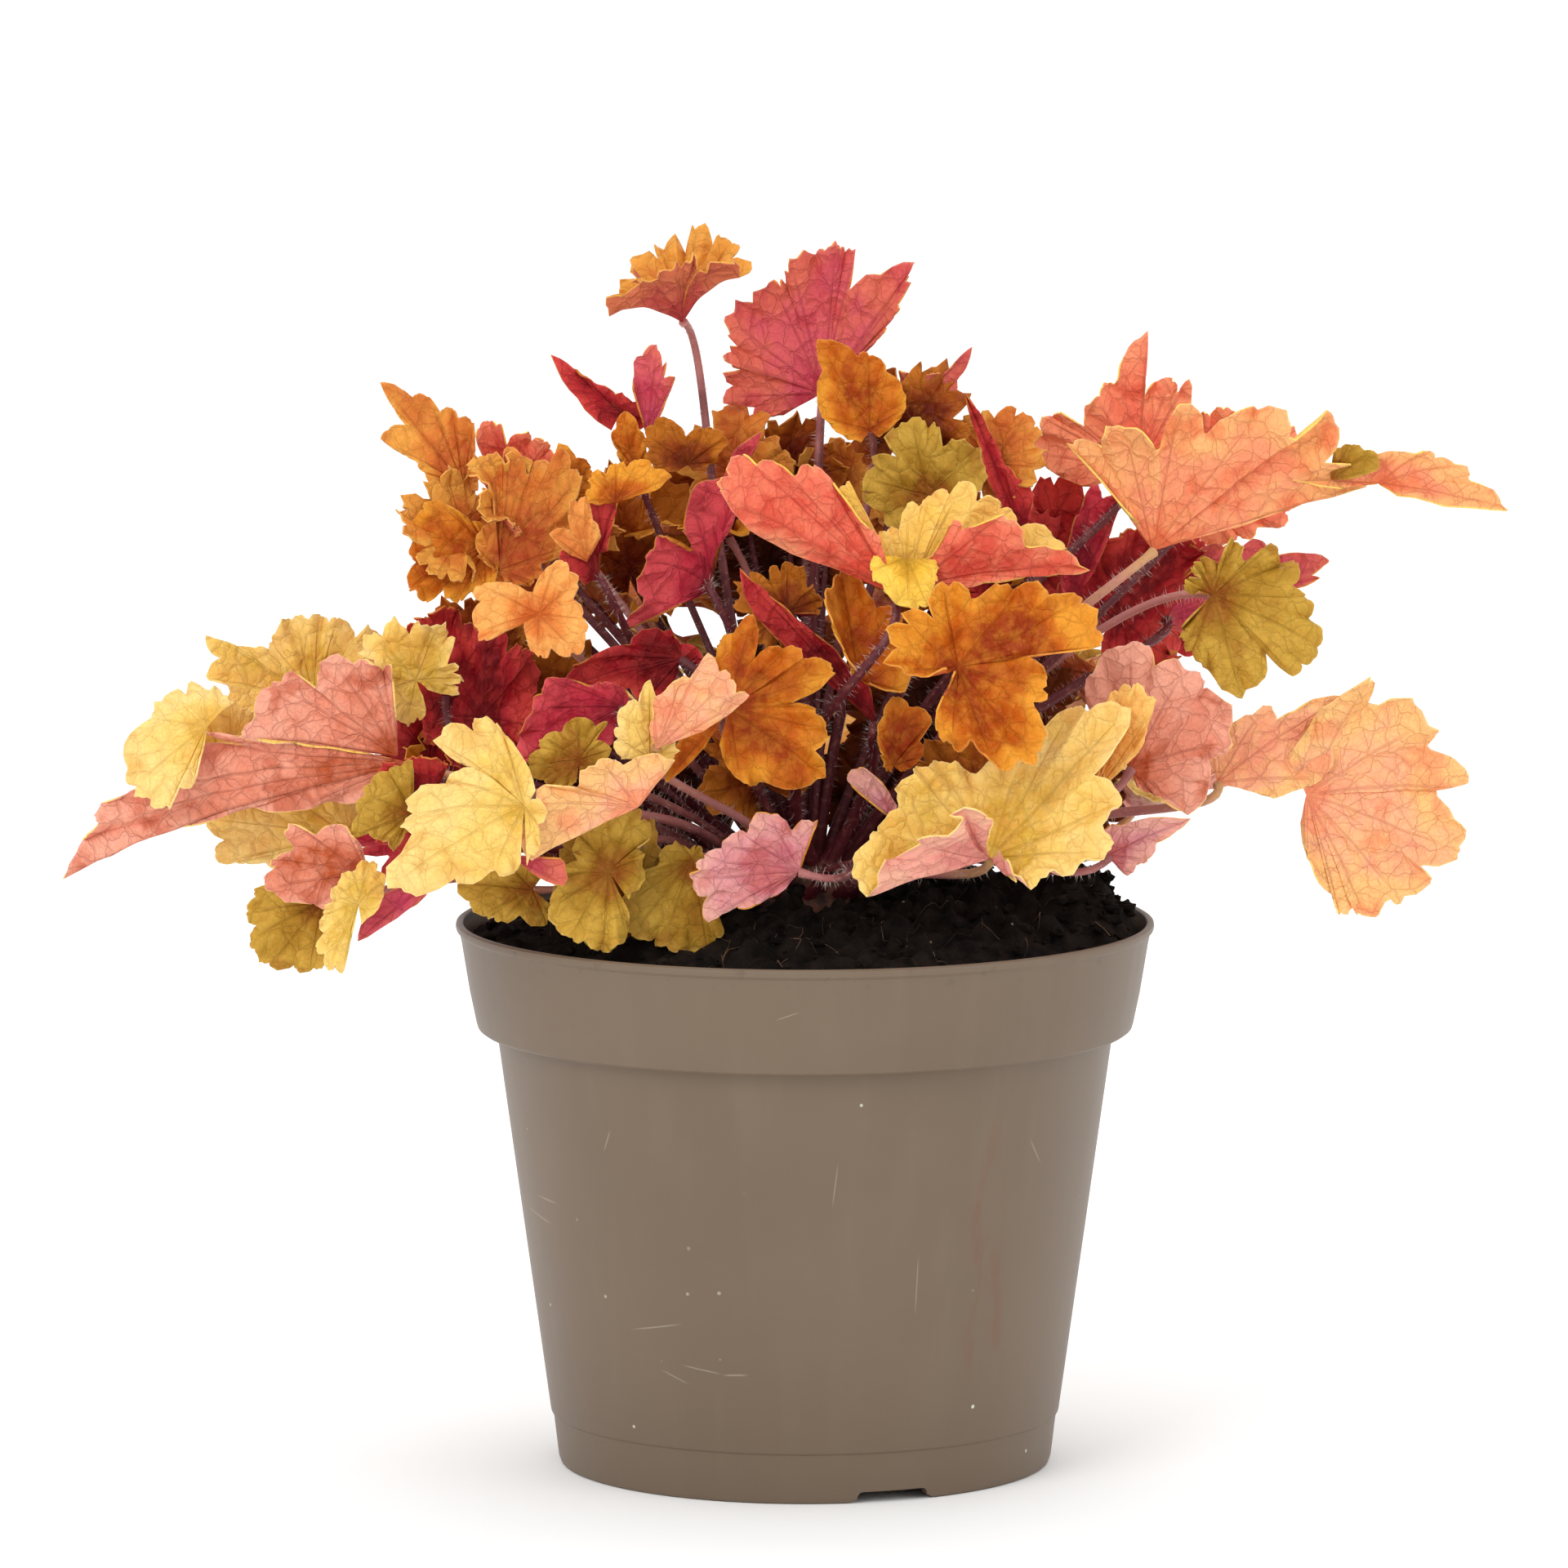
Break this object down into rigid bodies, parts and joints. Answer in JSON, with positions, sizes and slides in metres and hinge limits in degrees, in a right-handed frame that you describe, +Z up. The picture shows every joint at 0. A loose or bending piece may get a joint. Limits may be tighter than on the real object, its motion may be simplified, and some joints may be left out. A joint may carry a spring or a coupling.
{
  "type": "heuchera plant",
  "caption": "Potted coral bells: a clump of lobed, ruffled leaves in gold, amber, coral and crimson on thin stalks, in soil in a tapered nursery pot.",
  "frame": {"origin": "centre of the flat middle of the pot's underside, on the surface the pot stands on", "axes": "+Z up along the pot's axis, +X to the right and -Y to the front of the plant"},
  "size_m": [0.2402, 0.1523, 0.215],
  "materials": {
    "pot": "satin",
    "soil": "matte",
    "stalk": "satin",
    "leaf_amber": "satin",
    "leaf_rose": "satin",
    "leaf_russet": "satin",
    "leaf_coral": "satin",
    "leaf_peach": "satin",
    "leaf_magenta": "satin",
    "leaf_olive": "satin",
    "leaf_gold": "satin",
    "leaf_crimson": "satin"
  },
  "bodies": {
    "root": {"pot": "pot", "soil": "soil", "crown_and_stalks": "stalk", "leaf_top_funnel": "leaf_amber", "leaf_top_red": "leaf_rose", "leaf_top_orange": "leaf_amber", "leaf_top_bunch_right": "leaf_russet", "leaf_top_bunch_left": "leaf_russet", "leaf_right_red": "leaf_coral", "leaf_right_trough": "leaf_peach", "leaf_right_coral": "leaf_coral", "leaf_right_magenta": "leaf_magenta", "leaf_right_strip": "leaf_magenta", "leaf_right_olive": "leaf_olive", "leaf_right_rose": "leaf_rose", "leaf_right_far": "leaf_peach", "leaf_front_gold_right": "leaf_gold", "leaf_front_peach_strip": "leaf_peach", "leaf_front_rolled": "leaf_rose", "leaf_front_low_rose": "leaf_rose", "leaf_front_funnel": "leaf_amber", "leaf_front_coral": "leaf_coral", "leaf_front_red_strip": "leaf_crimson", "leaf_front_amber_small": "leaf_russet", "leaf_left_magenta": "leaf_magenta", "leaf_left_orange_face": "leaf_amber", "leaf_left_crimson": "leaf_crimson", "leaf_left_purple": "leaf_magenta", "leaf_left_peach": "leaf_peach", "leaf_left_fold": "leaf_crimson", "leaf_left_ruffles": "leaf_amber", "leaf_left_red_top": "leaf_crimson", "leaf_left_peach_top": "leaf_peach", "leaf_left_deep_red": "leaf_crimson", "leaf_left_trough": "leaf_peach", "leaf_left_gold_side": "leaf_gold", "leaf_left_gold_back": "leaf_gold", "leaf_left_gold_low": "leaf_gold", "leaf_left_olive_low": "leaf_olive", "leaf_left_under": "leaf_crimson", "leaf_front_gold_left": "leaf_gold", "leaf_front_peach_up": "leaf_peach", "leaf_front_olive_left": "leaf_olive", "leaf_front_olive_low": "leaf_olive", "leaf_front_olive_drop": "leaf_olive", "leaf_front_olive_mid": "leaf_olive", "leaf_front_pink_low": "leaf_rose", "leaf_back_1_1": "leaf_gold", "leaf_back_1_2": "leaf_olive", "leaf_back_1_3": "leaf_peach", "leaf_back_1_4": "leaf_gold", "leaf_back_1_5": "leaf_olive", "leaf_back_2_1": "leaf_amber", "leaf_back_2_2": "leaf_coral", "leaf_back_2_3": "leaf_olive", "leaf_back_2_4": "leaf_amber", "leaf_back_3_1": "leaf_russet", "leaf_back_3_2": "leaf_rose", "leaf_back_3_3": "leaf_amber"}
  },
  "joints": []
}
